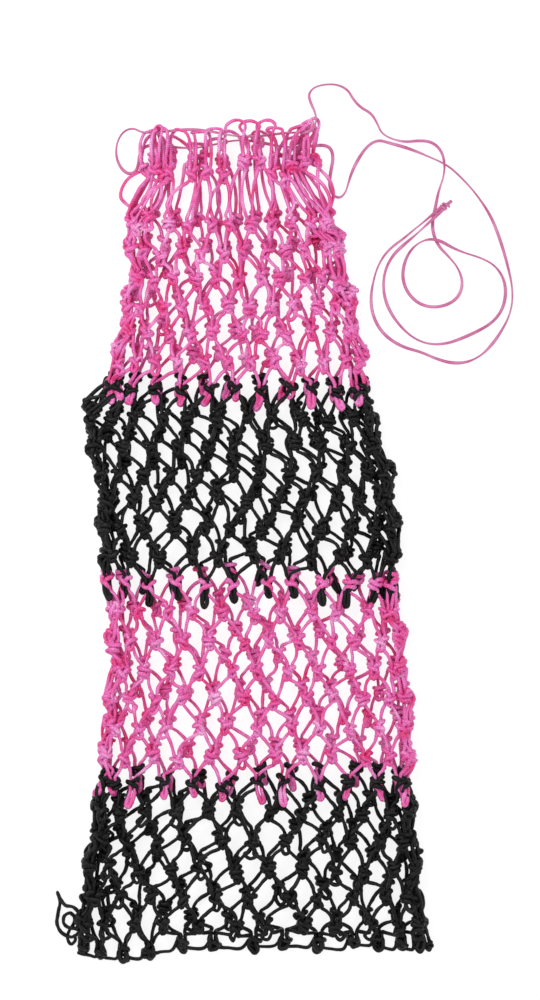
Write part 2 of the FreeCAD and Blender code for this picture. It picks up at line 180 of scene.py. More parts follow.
def swept(line, wide, thick, sides, closed=False, turn=None):
    """Vertices, faces and strand coordinates of a tube whose oval section may turn along it.

    The strand coordinates are the share of the way round, and the metres along.
    """
    count = len(line)
    tangent, side, across = sections(line, closed)
    angle = np.linspace(0, 2 * math.pi, sides, endpoint=False)
    roll = np.zeros(count) if turn is None else turn
    if closed:
        last = side[-1] - tangent[0] * np.dot(side[-1], tangent[0])
        seam = math.atan2(np.dot(np.cross(last, side[0]), tangent[0]), np.dot(last, side[0]))
        roll = roll + seam * np.arange(count) / count
    wide = np.broadcast_to(wide, count)
    thick = np.broadcast_to(thick, count)
    a = wide[:, None] * np.cos(angle)[None, :]
    b = thick[:, None] * np.sin(angle)[None, :]
    x = a * np.cos(roll)[:, None] - b * np.sin(roll)[:, None]
    y = a * np.sin(roll)[:, None] + b * np.cos(roll)[:, None]
    sideways, crossways = x[..., None] * side[:, None, :], y[..., None] * across[:, None, :]
    verts = line[:, None, :] + sideways + crossways
    verts[..., 2] = np.maximum(verts[..., 2], ABOVE_FLOOR)
    steps = np.linalg.norm(np.diff(line, axis=0), axis=1)
    along = np.concatenate([[0.0], np.cumsum(steps)])
    faces, marks = [], []
    rings = count if closed else count - 1
    for i in range(rings):
        n = (i + 1) % count
        far = along[n] if n else along[i] + np.linalg.norm(line[0] - line[-1])
        for k in range(sides):
            m = (k + 1) % sides
            faces.append((i * sides + k, i * sides + m, n * sides + m, n * sides + k))
            u0, u1 = k / sides, (k + 1) / sides
            marks += [(u0, along[i]), (u1, along[i]), (u1, far), (u0, far)]
    verts = verts.reshape(-1, 3)
    if not closed:
        for end, ring in ((0, 0), (count - 1, (count - 1) * sides)):
            tip = len(verts)
            verts = np.vstack([verts, line[end]])
            for k in range(sides):
                m = (k + 1) % sides
                pair = (ring + m, ring + k) if end == 0 else (ring + k, ring + m)
                faces.append((*pair, tip))
                marks += [(0.5, along[end])] * 3
    return verts, faces, marks


class Piece:
    """Gathers strands into one mesh object."""

    def __init__(self):
        self.verts, self.faces, self.marks, self.count = [], [], [], 0

    def add(self, verts, faces, marks):
        self.verts.append(verts)
        self.faces += [tuple(i + self.count for i in face) for face in faces]
        self.marks += marks
        self.count += len(verts)

    def make(self, name, material):
        mesh = bpy.data.meshes.new(name)
        mesh.from_pydata(np.vstack(self.verts).tolist(), [], self.faces)
        layer = mesh.uv_layers.new(name="strand")
        layer.data.foreach_set("uv", np.array(self.marks, np.float32).ravel())
        mesh.polygons.foreach_set("use_smooth", [True] * len(mesh.polygons))
        mesh.materials.append(material)
        mesh.update()
        piece = bpy.data.objects.new(name, mesh)
        bpy.context.scene.collection.objects.link(piece)
        return piece


# ---------------------------------------------------------------- materials
def braid_material(name, shade_tone, base, light, plait, rough, relief, shine):
    """Braided filament twine: crossing plaits, fine fibres, random spots of painted shade and
    painted highlight, and a satin gloss.

    The colours go from a painted shade tone, through the twine's own base colour, to a painted
    highlight tone. A plait is the length of one crossing.
    """
    material = bpy.data.materials.new(name)
    material.use_nodes = True
    nodes, links = material.node_tree.nodes, material.node_tree.links
    shader = nodes["Principled BSDF"]
    shader.inputs["Specular IOR Level"].default_value = shine

    def math_node(kind, a, b=None, c=None):
        node = nodes.new("ShaderNodeMath")
        node.operation = kind
        for socket, value in zip(node.inputs, (a, b, c)):
            if isinstance(value, (int, float)):
                socket.default_value = value
            elif value is not None:
                links.new(value, socket)
        return node.outputs[0]

    def noise(scale, detail, vector):
        node = nodes.new("ShaderNodeTexNoise")
        node.inputs["Scale"].default_value = scale
        node.inputs["Detail"].default_value = detail
        links.new(vector, node.inputs["Vector"])
        return node.outputs["Fac"]

    strand = nodes.new("ShaderNodeUVMap")
    strand.uv_map = "strand"
    split = nodes.new("ShaderNodeSeparateXYZ")
    links.new(strand.outputs["UV"], split.inputs[0])
    round_it = math_node("MULTIPLY", split.outputs["X"], 2 * math.pi * 2)
    along_it = math_node("MULTIPLY", split.outputs["Y"], 2 * math.pi / plait)
    one = math_node("SINE", math_node("ADD", along_it, round_it))
    other = math_node("SINE", math_node("SUBTRACT", along_it, round_it))
    crossing = math_node("MULTIPLY", one, other)
    plaits = math_node("MULTIPLY_ADD", crossing, 0.5, 0.5)

    place = nodes.new("ShaderNodeTexCoord")
    painted_light_patches = noise(45, 3, place.outputs["Object"])
    stretched = nodes.new("ShaderNodeCombineXYZ")
    links.new(math_node("MULTIPLY", split.outputs["X"], 26), stretched.inputs[0])
    links.new(math_node("MULTIPLY", split.outputs["Y"], 260), stretched.inputs[1])
    fibres = noise(1, 4, stretched.outputs[0])

    # The ramp runs from a painted shade colour at its low end, through the twine's own colour, to a
    # painted highlight colour at its high end.
    tones = nodes.new("ShaderNodeValToRGB")
    ramp = tones.color_ramp
    ramp.elements[0].position, ramp.elements[0].color = 0.18, (*shade_tone, 1)
    ramp.elements[1].position, ramp.elements[1].color = 0.85, (*light, 1)
    middle = ramp.elements.new(0.5)
    middle.color = (*base, 1)
    # Noise spreads spots of painted shade and painted highlight over the twine at random.
    painted_light_weight = math_node("MULTIPLY_ADD", painted_light_patches, 2.0, -0.75)
    # The colour also follows the plait and fibre relief of the bump: painted shade in their
    # hollows, painted highlight on their raised tops.
    mixed = math_node("MULTIPLY_ADD", plaits, 0.24, math_node("MULTIPLY", painted_light_weight, 0.5))
    mixed = math_node("MULTIPLY_ADD", fibres, 0.4, mixed)
    links.new(mixed, tones.inputs["Fac"])
    links.new(tones.outputs["Color"], shader.inputs["Base Color"])

    gloss = math_node("MULTIPLY_ADD", fibres, 0.3, rough - 0.15)
    links.new(gloss, shader.inputs["Roughness"])
    height = math_node("MULTIPLY_ADD", fibres, 0.35, plaits)
    bump = nodes.new("ShaderNodeBump")
    bump.inputs["Strength"].default_value = relief
    bump.inputs["Distance"].default_value = 0.4 * MM
    links.new(height, bump.inputs["Height"])
    links.new(bump.outputs["Normal"], shader.inputs["Normal"])
    return material


# For each twine the darkest tone is a painted shade colour and the lightest a painted highlight
# colour; the middle one is the twine's own colour.
PINK = braid_material(
    "pink_twine", shade_tone=(0.72, 0.006, 0.13), base=(0.78, 0.145, 0.48), light=(0.93, 0.58, 0.84),
    plait=5 * MM, rough=0.36, relief=0.65, shine=0.4,
)
BLACK = braid_material(
    "black_twine", shade_tone=(0.002, 0.002, 0.002), base=(0.006, 0.006, 0.0065),
    light=(0.024, 0.024, 0.027), plait=5 * MM, rough=0.42, relief=0.6, shine=0.2,
)
CORD_PINK = braid_material(
    "pink_cord", shade_tone=(0.51, 0.06, 0.23), base=(0.61, 0.19, 0.38), light=(0.77, 0.38, 0.60),
    plait=4 * MM, rough=0.5, relief=0.5, shine=0.3,
)


def band_look(row):
    """A course's material and its slot in the record."""
    black = "black" in COURSES[row]
    return (BLACK, "twine_black") if black else (PINK, "twine_pink")


# ---------------------------------------------------------------- knots
# Knot paths, in twine diameters from the knot's middle: across, up, out, thickness.
# The bight of the course above, from its left leg round its tip to its right leg.
BIGHT = np.array([
    (-0.62, 1.7, 0.0, LEG), (-0.50, 1.1, 0.05, 1.0), (-0.54, 0.3, 0.0, 1.0),
    (-0.62, -0.6, 0.0, FAT), (-0.48, -1.4, 0.1, FAT), (0.0, -1.8, 0.15, FAT),
    (0.48, -1.4, 0.1, FAT), (0.62, -0.6, 0.0, FAT),
    (0.54, 0.3, 0.0, 1.0), (0.50, 1.1, 0.05, 1.0), (0.62, 1.7, 0.0, LEG),
])
BESIDE_TIP = [4, 6]  # the bight's points either side of its tip
TIP = slice(4, 7)  # its tip and those two
BELOW_WRAP = slice(3, 8)  # all that hangs below the wrap
# The working twine of the knot's own course: up through the bight, round behind its neck, and
# down in front.
ONE_TURN = np.array([
    (-0.80, -1.95, 0.0, LEG), (-0.55, -1.45, -0.5, 1.0), (-0.15, -0.95, -0.6, 1.1),
    (0.0, -0.2, 0.3, FAT), (0.35, 0.6, 1.15, FAT), (0.9, 1.0, 0.95, FAT), (1.24, 1.05, 0.1, FAT),
    (0.95, 0.9, -0.8, FAT), (0.0, 0.7, -1.1, FAT), (-0.95, 0.5, -0.8, FAT),
    (-1.26, 0.22, 0.1, FAT), (-0.9, -0.05, 1.0, FAT), (0.0, -0.38, 1.3, FAT),
    (0.62, -0.85, 1.0, FAT), (0.85, -1.4, 0.45, 1.0), (0.85, -1.95, 0.0, LEG),
])
TWO_TURNS = np.array([
    (-0.80, -2.2, 0.0, LEG), (-0.55, -1.6, -0.5, 1.0), (-0.15, -1.0, -0.6, 1.0),
    (0.0, -0.2, 0.3, FAT), (0.3, 0.7, 1.1, FAT), (0.9, 1.1, 0.9, FAT), (1.24, 1.15, 0.1, FAT),
    (0.95, 1.05, -0.8, FAT), (0.0, 0.9, -1.05, FAT), (-0.95, 0.75, -0.8, FAT),
    (-1.26, 0.55, 0.1, FAT), (-0.9, 0.35, 0.95, FAT), (0.0, 0.18, 1.2, FAT),
    (0.92, 0.02, 0.92, FAT), (1.28, -0.1, 0.1, FAT), (0.95, -0.22, -0.8, FAT),
    (0.0, -0.36, -1.1, FAT), (-0.95, -0.5, -0.8, FAT), (-1.26, -0.62, 0.1, FAT),
    (-0.8, -0.8, 0.95, FAT), (0.0, -1.0, 1.1, FAT), (0.6, -1.35, 0.75, 1.0),
    (0.85, -1.75, 0.35, 1.0), (0.85, -2.2, 0.0, LEG),
])
TWO_TURNS_SHARE = 0.3
KNOT_SIZE = 1.06
FLATTEN = 0.74  # knots in a net lie flatter than they are wide


def mirrored(points):
    """The same knot tied with the other hand, walked in the same direction."""
    flipped = points[::-1].copy()
    flipped[:, 0] *= -1
    return flipped


def by_hand(points, luck):
    """No two knots are pulled tight alike: every point between the ends strays a little."""
    for point in points[1:-1]:
        point[:3] += [luck.gauss(0, 0.1), luck.gauss(0, 0.14), luck.gauss(0, 0.06)]
        point[3] *= luck.uniform(0.9, 1.12)
    return points


# how far each knot of the first course strays, round the tube, across and up in millimetres:
# gathered at the folds, uneven between
MOUTH_KNOTS = (
    (-1.5, -3), (-3, 2), (-9, -8), (-16, -2), (-6, -6), (-5, -4), (-3, -8), (4, 5), (7, 6),
    (5, -4), (2, -12), (-1, 4), (-3, 8), (-2, 0),
    (-4, -2), (2, 5), (6, -9), (8, 2), (3, 7), (6, -5), (-2, 0), (-6, 5), (-4, -3), (-15, 6),
    (-10, -6), (-4, 4),
)
BUNCH = 12 * MM  # the outer columns lie up to this much closer to their fold than in an even net
BUNCH_REACH = 24 * MM  # and most so at this distance from it
# how far the left fold bulges below the first change of colour, in millimetres
LEFT_BULGE = {
    "upper_black_course_1": -2, "upper_black_course_2": 3,
    "upper_black_course_3": 6, "upper_black_course_4": 1,
}
LEFT_COLUMNS = (0, 1, ROUND - 1)
BACK_FREE = 34 * MM  # from here inwards the back layer drifts freely
EVEN_GAP = 44 * MM  # from the knot before to the one after, where the net lies open
LOWEST_KNOT = 7.6 * MM


def side_folds(row):
    """Where a course's two side folds lie."""
    return KNOTS[row][:, 0].min(), KNOTS[row][:, 0].max()


def bunched(row, x):
    """How far a knot slips towards the nearer side fold."""
    left, right = side_folds(row)
    slip = 0.0
    for away, sign in ((x - left, -1), (right - x, 1)):
        near = max(away, 0.0) / BUNCH_REACH
        slip += sign * BUNCH * near * math.exp(1 - near)
    return slip


def back_drift(row, knot):
    """The back layer doesn't lie square under the front: it has slipped by up to 10 mm."""
    x, y = knot[0] / MM, knot[1] / MM
    left, right = side_folds(row)
    free = min(1.0, min(knot[0] - left, right - knot[0]) / BACK_FREE)
    across = 7.5 * math.sin(0.019 * y + 0.011 * x + 0.6) + 3.0 * math.sin(0.047 * y - 0.031 * x)
    along = 5.0 * math.sin(0.023 * x + 0.009 * y + 2.0)
    return np.array([across, along, 0.0]) * free * MM


def knot_axes(row, column, luck):
    """Middle of a knot and its across, up and out directions, each turned a little by hand."""
    here = KNOTS[row][column % ROUND].copy()
    after = KNOTS[row][(column + 1) % ROUND]
    before = KNOTS[row][(column - 1) % ROUND]
    across = after - before
    across[1] = 0
    across /= np.linalg.norm(across)
    out = np.cross(across, UP)
    crowd = 1 - min(1.0, abs(after[0] - before[0]) / EVEN_GAP)
    roll = luck.gauss(0, 0.16 + 0.26 * crowd)
    lean = luck.gauss(0, 0.2 + 0.2 * crowd)
    up = UP * math.cos(roll) + across * math.sin(roll)
    across = across * math.cos(roll) - UP * math.sin(roll)
    up, out = (
        up * math.cos(lean) + out * math.sin(lean),
        out * math.cos(lean) - up * math.sin(lean),
    )
    aside, along = luck.gauss(0, 1.0 + 1.0 * crowd), luck.gauss(0, 2.2 + 1.8 * crowd)
    here += across * aside * MM + UP * along * MM
    if row == 0:
        here[:2] += np.array(MOUTH_KNOTS[column]) * MM
    else:
        if column > ACROSS:
            here += back_drift(row, here)
        here[0] += bunched(row, here[0])
        if column in LEFT_COLUMNS:
            here[0] -= LEFT_BULGE.get(COURSES[row], 0.0) * MM
    here[2] = max(here[2], LOWEST_KNOT)
    return here, across, up, out


def placed(points, axes):
    """A knot path's points in the frame, each with its thickness."""
    here, across, up, out = axes
    p = points * (TWINE * KNOT_SIZE)
    place = here + p[:, :1] * across + p[:, 1:2] * up + p[:, 2:3] * (FLATTEN * out)
    return np.hstack([place, points[:, 3:]])


def all_axes():
    """Every knot's place and turn, drawn once, so that neighbouring courses agree."""
    luck = random.Random(21)
    rows = range(len(COURSES))
    return [[knot_axes(row, column, luck) for column in range(ROUND)] for row in rows]


AXES = all_axes()
FIRST_CHANGE = COURSES.index("upper_black_course_1")


def luck_at(kind, row, column):
    """A knot's own random numbers, the same whichever course asks for them."""
    return random.Random(kind + row * 50 + column)


def tip_length(row, column):
    """How far a bight's tip hangs below its knot: long where the colour changes."""
    luck = luck_at(1000, row, column)
    changes = row > 0 and band_look(row)[1] != band_look(row - 1)[1]
    if not changes:
        return luck.uniform(0.0, 0.6)
    return luck.uniform(0.8, 3.0) if row == FIRST_CHANGE else luck.uniform(1.0, 4.0)


# Some bights were never pulled tight, and hang below their knot as a small open ring: the share
# of them in each of the last courses, and in any other. The hem holds none.
RINGS = {22: 0.45, 23: 0.35, 24: 0.35, 25: 0.35, 26: 0.4, 27: 0.0}
FEW_RINGS = 0.05
SHORT_TIP, LONG_TIP = 0.7, 1.0


def bight_at(row, column):
    """The course above's bight, held in this knot. The hem holds the last course's bights."""
    column %= ROUND
    luck = luck_at(2000, row, column)
    at_hem = row == len(COURSES)
    if at_hem:
        front = column < ACROSS
        hem = HEM[column if front else ROUND - 1 - column]
        sign = 1.0 if front else -1.0
        axes = (
            hem + np.array([luck.gauss(0, 1.4), luck.uniform(-1, 4), 2.6 * sign]) * MM,
            np.array([sign, 0.0, 0.0]), UP, np.array([0.0, 0.0, sign]),
        )
        tip = luck.uniform(-0.5, 1.1)
    else:
        axes = AXES[row][column]
        tip = tip_length(row, column)
    narrow = not at_hem and tip > LONG_TIP
    points = by_hand(BIGHT.copy(), luck)
    if tip < SHORT_TIP and luck.random() < RINGS.get(row, FEW_RINGS):
        tip = luck.uniform(1.2, 1.9)
        points[BESIDE_TIP, 0] *= luck.uniform(1.9, 2.5)
        points[BESIDE_TIP, 1] += 0.35 * tip
        points[BELOW_WRAP, 3] *= 0.8
        points[TIP, 0] += luck.gauss(0, 0.5)
    points[BELOW_WRAP, 1] -= tip * np.array([0.45, 1.0, 1.0, 1.0, 0.45])
    if at_hem:
        points[BELOW_WRAP, 0] *= 1 + 0.5 * tip
    elif narrow:
        points[BELOW_WRAP, 0] *= 0.8
        if row == FIRST_CHANGE:
            points[BELOW_WRAP, 3] *= 1.22
    points[TIP, 0] += luck.gauss(0, 0.12) + 0.14 * tip * luck.choice((-1, 1))
    points[TIP, 2] -= 0.12 * tip
    return placed(points, axes)


def wrap_at(row, column):
    """The knot's own twine, wrapped once or twice round the bight, by either hand."""
    column %= ROUND
    luck = luck_at(4000, row, column)
    points = TWO_TURNS if luck.random() < TWO_TURNS_SHARE else ONE_TURN
    points = points.copy() if luck.random() < 0.5 else mirrored(points)
    return placed(by_hand(points, luck), AXES[row][column])


def bowed_leg(top, bottom, luck, outwards, bulge, slack):
    """Points down a leg: it leaves its upper knot sideways, rounds over, and drops to the lower.

    It bows by chance, more where the slack is large, and some few legs bow much more.
    """
    top, bottom = top[:3], bottom[:3]
    span = np.linalg.norm(bottom - top)
    sideways = bottom[0] - top[0]
    rounding = luck.uniform(-0.2, 0.8)
    spread = VERY_SLACK if luck.random() < VERY_SLACK_SHARE else slack
    bow = luck.gauss(0, spread) * span + bulge
    lift = luck.uniform(-0.03, 0.06) * span * outwards
    points = []
    for share, ahead in ((0.3, 0.20), (0.68, 0.16)):
        swell = math.sin(math.pi * share)
        shift = np.array([sideways * ahead * rounding + bow * swell, 0, lift * swell])
        points.append((*(top + (bottom - top) * share + shift), LEG))
    return points


def flat_twine(line, turns, closed=False):
    """The twine is a slightly flat braid that turns over now and then, and so looks uneven."""
    share = np.arange(len(line)) / len(line)
    slow, quick = (2 * math.pi * count * share for count in (turns, 2 * turns + 7))
    turn = 1.1 * np.sin(slow) + 0.5 * np.sin(quick)
    thick = TWINE / 2 * line[:, 3]
    return swept(line[:, :3], thick * 1.05, thick * 0.86, TWINE_SIDES, closed=closed, turn=turn)


# the spread of the legs' sideways bow, as a share of their length, by course: most under the
# mouth and above the hem
SLACK = {0: 0.11, 21: 0.07, 22: 0.07, 23: 0.08, 24: 0.09, 25: 0.1, 26: 0.14}
EVEN_SLACK = 0.045
VERY_SLACK, VERY_SLACK_SHARE = 0.16, 0.08
FRONT_FROM = 14 * MM  # higher knots than this are in the front layer
FOLD_LEG_BULGE = -8 * MM  # the first course's last leg stands out of the left fold


def course_line(row):
    """One course's whole twine: a knot, down to a bight in the next row, up, and so on round."""
    luck = random.Random(3000 + row)
    slack = SLACK.get(row, EVEN_SLACK)
    controls = []
    for column in range(ROUND):
        target = column if row % 2 == 0 else column + 1
        wrap, bight = wrap_at(row, column), bight_at(row + 1, target)
        following = wrap_at(row, column + 1)
        outwards = 1 if wrap[0][2] > FRONT_FROM else -0.4
        bulge = FOLD_LEG_BULGE if row == 0 and column == ROUND - 1 else 0.0
        controls += list(wrap)
        controls += bowed_leg(wrap[-1], bight[0], luck, outwards, bulge, slack)
        controls += list(bight)
        controls += bowed_leg(following[0], bight[-1], luck, outwards, 0.0, slack)[::-1]
    return controls


def make_courses():
    """Every course is one piece of twine, and its braid turns over some sixty times on the way."""
    for row, course in enumerate(COURSES):
        material, slot = band_look(row)
        line = smooth_line(course_line(row), TWINE_STEP, closed=True)
        line[:, 3] *= FULLNESS[slot]
        piece = Piece()
        piece.add(*flat_twine(line, 60 + row, closed=True))
        shown = piece.make(f"{course}_twine", material)
        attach(shown, "netting")
        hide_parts(course)


# ---------------------------------------------------------------- hem and strays
def add_strand(piece, controls, spacing=TWINE_STEP):
    """A loose strand through control points that each give their thickness last."""
    line = smooth_line(np.array(controls), spacing)
    line[:, 2] = np.maximum(line[:, 2], TWINE * 0.5)
    piece.add(*flat_twine(line, max(1, len(line) // 50)))


def with_thickness(points, thickness):
    return [(*point, thickness) for point in points]


def make_hem():
    """The lacing goes once round each pair of bights and on to the next in shallow scallops."""
    luck = random.Random(77)
    controls = []
    steps = 9
    for index, hem in enumerate(HEM):
        turn = luck.gauss(0, 0.25)
        shift = np.array([luck.gauss(0, 1.2), luck.uniform(-4.5, 3.0), 0.0]) * MM
        for step in range(steps):
            angle = math.pi * (1.0 - step * 0.25)
            high = math.sin(angle) * 1.7 * TWINE
            wide = math.cos(angle) * 1.15 * TWINE
            place = hem + shift + np.array([wide, (1.0 - 0.26 * step) * TWINE + wide * turn, high])
            place += np.array([luck.gauss(0, 0.5), luck.gauss(0, 0.6), 0]) * MM
            controls.append((*place, FAT if 0 < step < steps - 1 else 1.0))
        if index < len(HEM) - 1:
            gap = HEM[index + 1] - hem
            drop = luck.uniform(1.0, 6.0) * MM
            for share in (0.32, 0.68):
                place = hem + gap * share + np.array([0, -drop - 5 * MM, -3.2 * MM])
                controls.append((*place, LEG))
    piece = Piece()
    add_strand(piece, controls)
    shown = piece.make("hem_lacing", BLACK)
    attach(shown, "netting")
    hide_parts("hem_lacing_knots", "hem_lacing_twine")


def strand_through(name, controls, replaced, knot_at=None):
    """A loose black strand, with a small knot on it where there is one."""
    piece = Piece()
    add_strand(piece, with_thickness(controls, 1.0))
    if knot_at is not None:
        add_strand(piece, with_thickness(knot_at, 1.15), 1.0 * MM)
    shown = piece.make(name, BLACK)
    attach(shown, "netting")
    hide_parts(*replaced)


def overhand(place, along, size):
    """A small overhand knot round a cord that runs along a direction on the floor."""
    along = np.array([along[0], along[1], 0.0])
    along /= np.linalg.norm(along)
    beside = np.array([-along[1], along[0], 0.0])
    up = np.array([0.0, 0.0, 1.0])
    points = []
    steps, half_turns = 14, 3.4
    for step in range(steps + 1):
        share = step / steps
        angle = share * half_turns * math.pi
        points.append(
            np.array(place) + along * (share - 0.5) * 1.9 * size
            + beside * math.cos(angle) * size * 0.78 + up * math.sin(angle) * size * 0.62
        )
    return points


def from_knot(knot, offsets):
    """Points given in millimetres: across the floor from a knot's middle, and up from the floor."""
    return [(knot[0] + x * MM, knot[1] + y * MM, z * MM) for x, y, z in offsets]


def make_strays():
    """A small coil of slack at the lower left corner, and the lacing's knotted end at the right."""
    left, right = KNOTS[-1][0], KNOTS[-1][ACROSS]
    coil = from_knot(left, (
        (0, 6, 14), (-9, 15, 13), (-19, 17, 10), (-26, 25, 6), (-29, 31, 4), (-26, 20, 4),
        (-28, 7, 4), (-29.5, -6, 4), (-24, -17, 4), (-12, -22, 5), (-4, -17, 8), (-1, -5, 11),
    ))
    strand_through("corner_loop_twine", coil, ["corner_loop"])
    ring = from_knot(left, (
        (0, -14, 9), (-8, -11, 9.5), (-15, -10, 9), (-21, -5, 8.5), (-20, 4, 8), (-13, 7, 7.5),
        (-8, 1, 7), (-10, -7, 5), (-15, -15, 3), (-17, -24, 2.8), (-13, -31, 2.8), (-8, -27, 2.8),
        (-8, -19, 3),
    ))
    strand_through("corner_end_twine", ring, ["corner_end"])
    hang = from_knot(right, (
        (-8, 40, 24), (-3, 28, 25), (-1, 14, 25), (2, 0, 22), (5, -12, 14), (8, -23, 7),
        (10.5, -32, 5), (9.5, -38, 5), (6, -36, 5.5), (4, -27, 8), (0, -15, 15), (-5, -2, 20),
        (-10, 8, 22), (-14, 16, 20),
    ))
    bead = overhand((right[0] + 9 * MM, right[1] - 32 * MM, 5.8 * MM), (0.25, -1.0), 4.2 * MM)
    strand_through("lacing_end_twine", hang, ["lacing_end", "lacing_end_knot"], bead)


# ---------------------------------------------------------------- mouth loops
# How each loop lies, from the left fold to the right: its top leans this far in x, stands this
# far above the cord, and is this wide either side of its middle. Millimetres.
FRONT_LOOPS = (
    (9, 3, 5.0), (1, 8, 4.5), (-4, 6, 4.5), (-4, 4, 4.0), (-2, 1, 9.0), (-1, 5, 9.0),
    (3, 15, 11.5), (-3, 14, 12.0), (2, 15, 11.0), (-8, 6, 9.0), (14, 8, 7.5), (12, 15, 7.0),
    (4, 18, 7.0),
)
BACK_LOOPS = (
    (6, 12, 5.0), (-2, 17, 4.5), (-9, 14, 5.5), (-12, 11, 6.5), (-5, 2, 10.0), (8, 8, 11.0),
    (-5, 17, 11.5), (4, 12, 11.0), (-9, 17, 11.0), (16, 10, 9.0), (22, 18, 6.5), (15, 25, 6.0),
    (3, 24, 7.0),
)
LOOP_THICKNESS = 0.88
UNDER_CORD = (ACROSS - 2, ACROSS - 1)  # the two front loops that the drawstring passes over
UNDER_BY = 5.2 * MM
ASTRIDE_BY = 4.4 * MM  # the others have one side this far above the cord, and one below
LOWEST_LOOP = 2.0 * MM
NARROWEST_FOOT = 4 * MM
LOOP_FOOT = 11 * MM  # how far below the cord a loop comes together


def arch(column, front, luck):
    """One mouth loop, from its bight's tip in one knot, round the drawstring, to the next knot."""
    start = column if front else ROUND - column
    first, last = (start, start + 1) if front else (start, start - 1)
    one, two = bight_at(0, first), bight_at(0, last)
    if front:
        rise, fall = one[5:], two[:6]
    else:
        rise, fall = one[:6][::-1], two[5:][::-1]
    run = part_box("drawstring_front_run" if front else "drawstring_back_run")
    run_y, run_z = (run[0].y + run[1].y) / 2, (run[0].z + run[1].z) / 2
    tilt = -1 if front else 1
    if front and column in UNDER_CORD:
        left_z = right_z = run_z - UNDER_BY
    else:
        left_z, right_z = run_z + tilt * ASTRIDE_BY, run_z - tilt * ASTRIDE_BY
    left_z, right_z = max(left_z, LOWEST_LOOP), max(right_z, LOWEST_LOOP)
    lean, tall, half = (MM * v for v in (FRONT_LOOPS if front else BACK_LOOPS)[column])
    left_x, right_x = rise[-1][0], fall[0][0]
    middle = (left_x + right_x) / 2
    side = max((right_x - left_x) / 2, NARROWEST_FOOT)
    top = run_y + tall
    near = 0.35 * lean
    waist = (side + half) / 2
    mid_z = (left_z + right_z) / 2
    over = [
        (middle - side + luck.gauss(0, 0.8) * MM, run_y - LOOP_FOOT, left_z),
        (middle - waist + near, run_y, left_z),
        (middle - half + 0.7 * lean, run_y + 0.55 * tall, (3 * left_z + mid_z) / 4),
        (middle - half * 0.6 + lean, top - 0.12 * tall, (left_z + mid_z) / 2),
        (middle + lean, top, mid_z),
        (middle + half * 0.6 + lean, top - 0.12 * tall, (right_z + mid_z) / 2),
        (middle + half + 0.7 * lean, run_y + 0.55 * tall, (3 * right_z + mid_z) / 4),
        (middle + waist + near, run_y, right_z),
        (middle + side + luck.gauss(0, 0.8) * MM, run_y - LOOP_FOOT, right_z),
    ]
    return [*rise, *with_thickness(over, LOOP_THICKNESS), *fall]


def make_mouth_loops():
    """Each pair slides with its own body. The last one stays, where the cord leaves the net."""
    luck = random.Random(5)
    for column in range(ACROSS):
        node = f"mouth_loops_{column + 1}"
        piece = Piece()
        for front in (True, False):
            add_strand(piece, arch(column, front, luck))
        shown = piece.make(f"{node}_twine", PINK)
        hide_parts(node)
        if column == ACROSS - 1:
            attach(shown, "netting")
        else:
            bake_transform(shown)


# ---------------------------------------------------------------- drawstring
# The routes' points, in millimetres in part.py's own frame.
LONG_TAIL = (
    (56, 484, 27), (65, 484, 27), (72.5, 489, 27), (75.5, 498, 27), (74, 509, 26),
    (69, 520, 20), (66, 532, 12),
    (73, 542, 5), (87, 546, 2.4), (102, 545.5, 2.2), (114, 539, 2.2), (120, 528, 2.2),
    (129, 518, 2.2), (142, 511, 2.2), (149, 499, 2.2), (154, 487, 2.2), (167, 480, 2.2),
    (183, 476.5, 2.2), (199, 478.5, 2.2), (214, 477, 2.2), (225, 468, 2.2), (230, 453, 2.2),
    (229, 436, 2.2), (222.5, 418, 2.2), (219, 400, 2.2), (215, 382, 2.2), (216, 366, 2.2),
    (223, 351, 2.2), (234, 340, 2.2), (246, 326, 2.2), (252, 308, 2.2), (247, 291, 2.2),
    (233, 281, 2.2), (215, 278, 2.2), (198, 283, 2.2), (185, 296, 2.2), (179, 313, 2.2),
    (181, 331, 2.2), (188, 346, 2.6), (199, 356, 5.5), (212, 360, 10), (225, 357, 10),
    (238, 350, 5), (254, 343.5, 2.4), (273, 338, 2.2), (290, 329, 2.2), (301, 313, 2.2),
    (303.5, 294, 2.2), (299, 275, 2.2), (287, 260, 2.2), (270, 250, 2.2), (250, 241, 2.2),
    (231, 234.5, 2.2), (211, 234, 2.2), (193, 241, 2.2), (178, 254, 2.2), (166, 270, 2.2),
    (158, 288, 2.2), (156, 307, 2.2), (159, 325, 2.2), (168, 341.5, 2.2), (182, 354.5, 2.6),
    (195, 365, 5.5), (206, 375, 10), (218, 386, 10), (229, 396.5, 6.5),
)
SHORT_TAIL = (
    (80, 472, 7), (88, 472, 7), (94.5, 466.5, 6.4), (96, 456, 5.6), (94, 445, 4.8), (92, 433.5, 4),
    (92, 422, 3.2), (96, 412, 2.6), (104.5, 409, 2.3), (111, 416, 2.2), (114.5, 428, 2.2),
    (119, 442, 2.2), (126.5, 457, 2.2), (137, 472, 2.2),
    (150, 479.5, 2.2), (165, 475, 2.2), (182, 470.5, 2.2), (199, 464, 3), (213, 457.5, 5.5),
    (224, 452, 10), (236, 445, 10), (248, 435, 5), (262, 421, 2.4), (275, 404, 2.2),
    (286, 386, 2.2), (294, 366, 2.2), (300.5, 346, 2.2), (306, 326, 2.2), (310.5, 306, 2.2),
    (311.5, 286, 2.2), (307, 267, 2.2), (298, 250, 2.2), (287, 234, 2.2), (273, 220, 2.2),
    (256, 212, 2.2), (237, 211.5, 2.2), (219, 217, 2.2), (201, 225, 2.2), (182, 230, 2.2),
    (165, 239, 2.2), (151, 253, 2.2), (143, 271, 2.2), (141, 290, 2.2), (144, 309, 2.2),
    (149, 326.5, 2.2), (157.5, 341.5, 2.2), (168, 352, 2.2), (180, 360.5, 3), (191.5, 370, 6),
    (203, 379, 10), (215, 389, 10), (226, 398.5, 6.5),
)
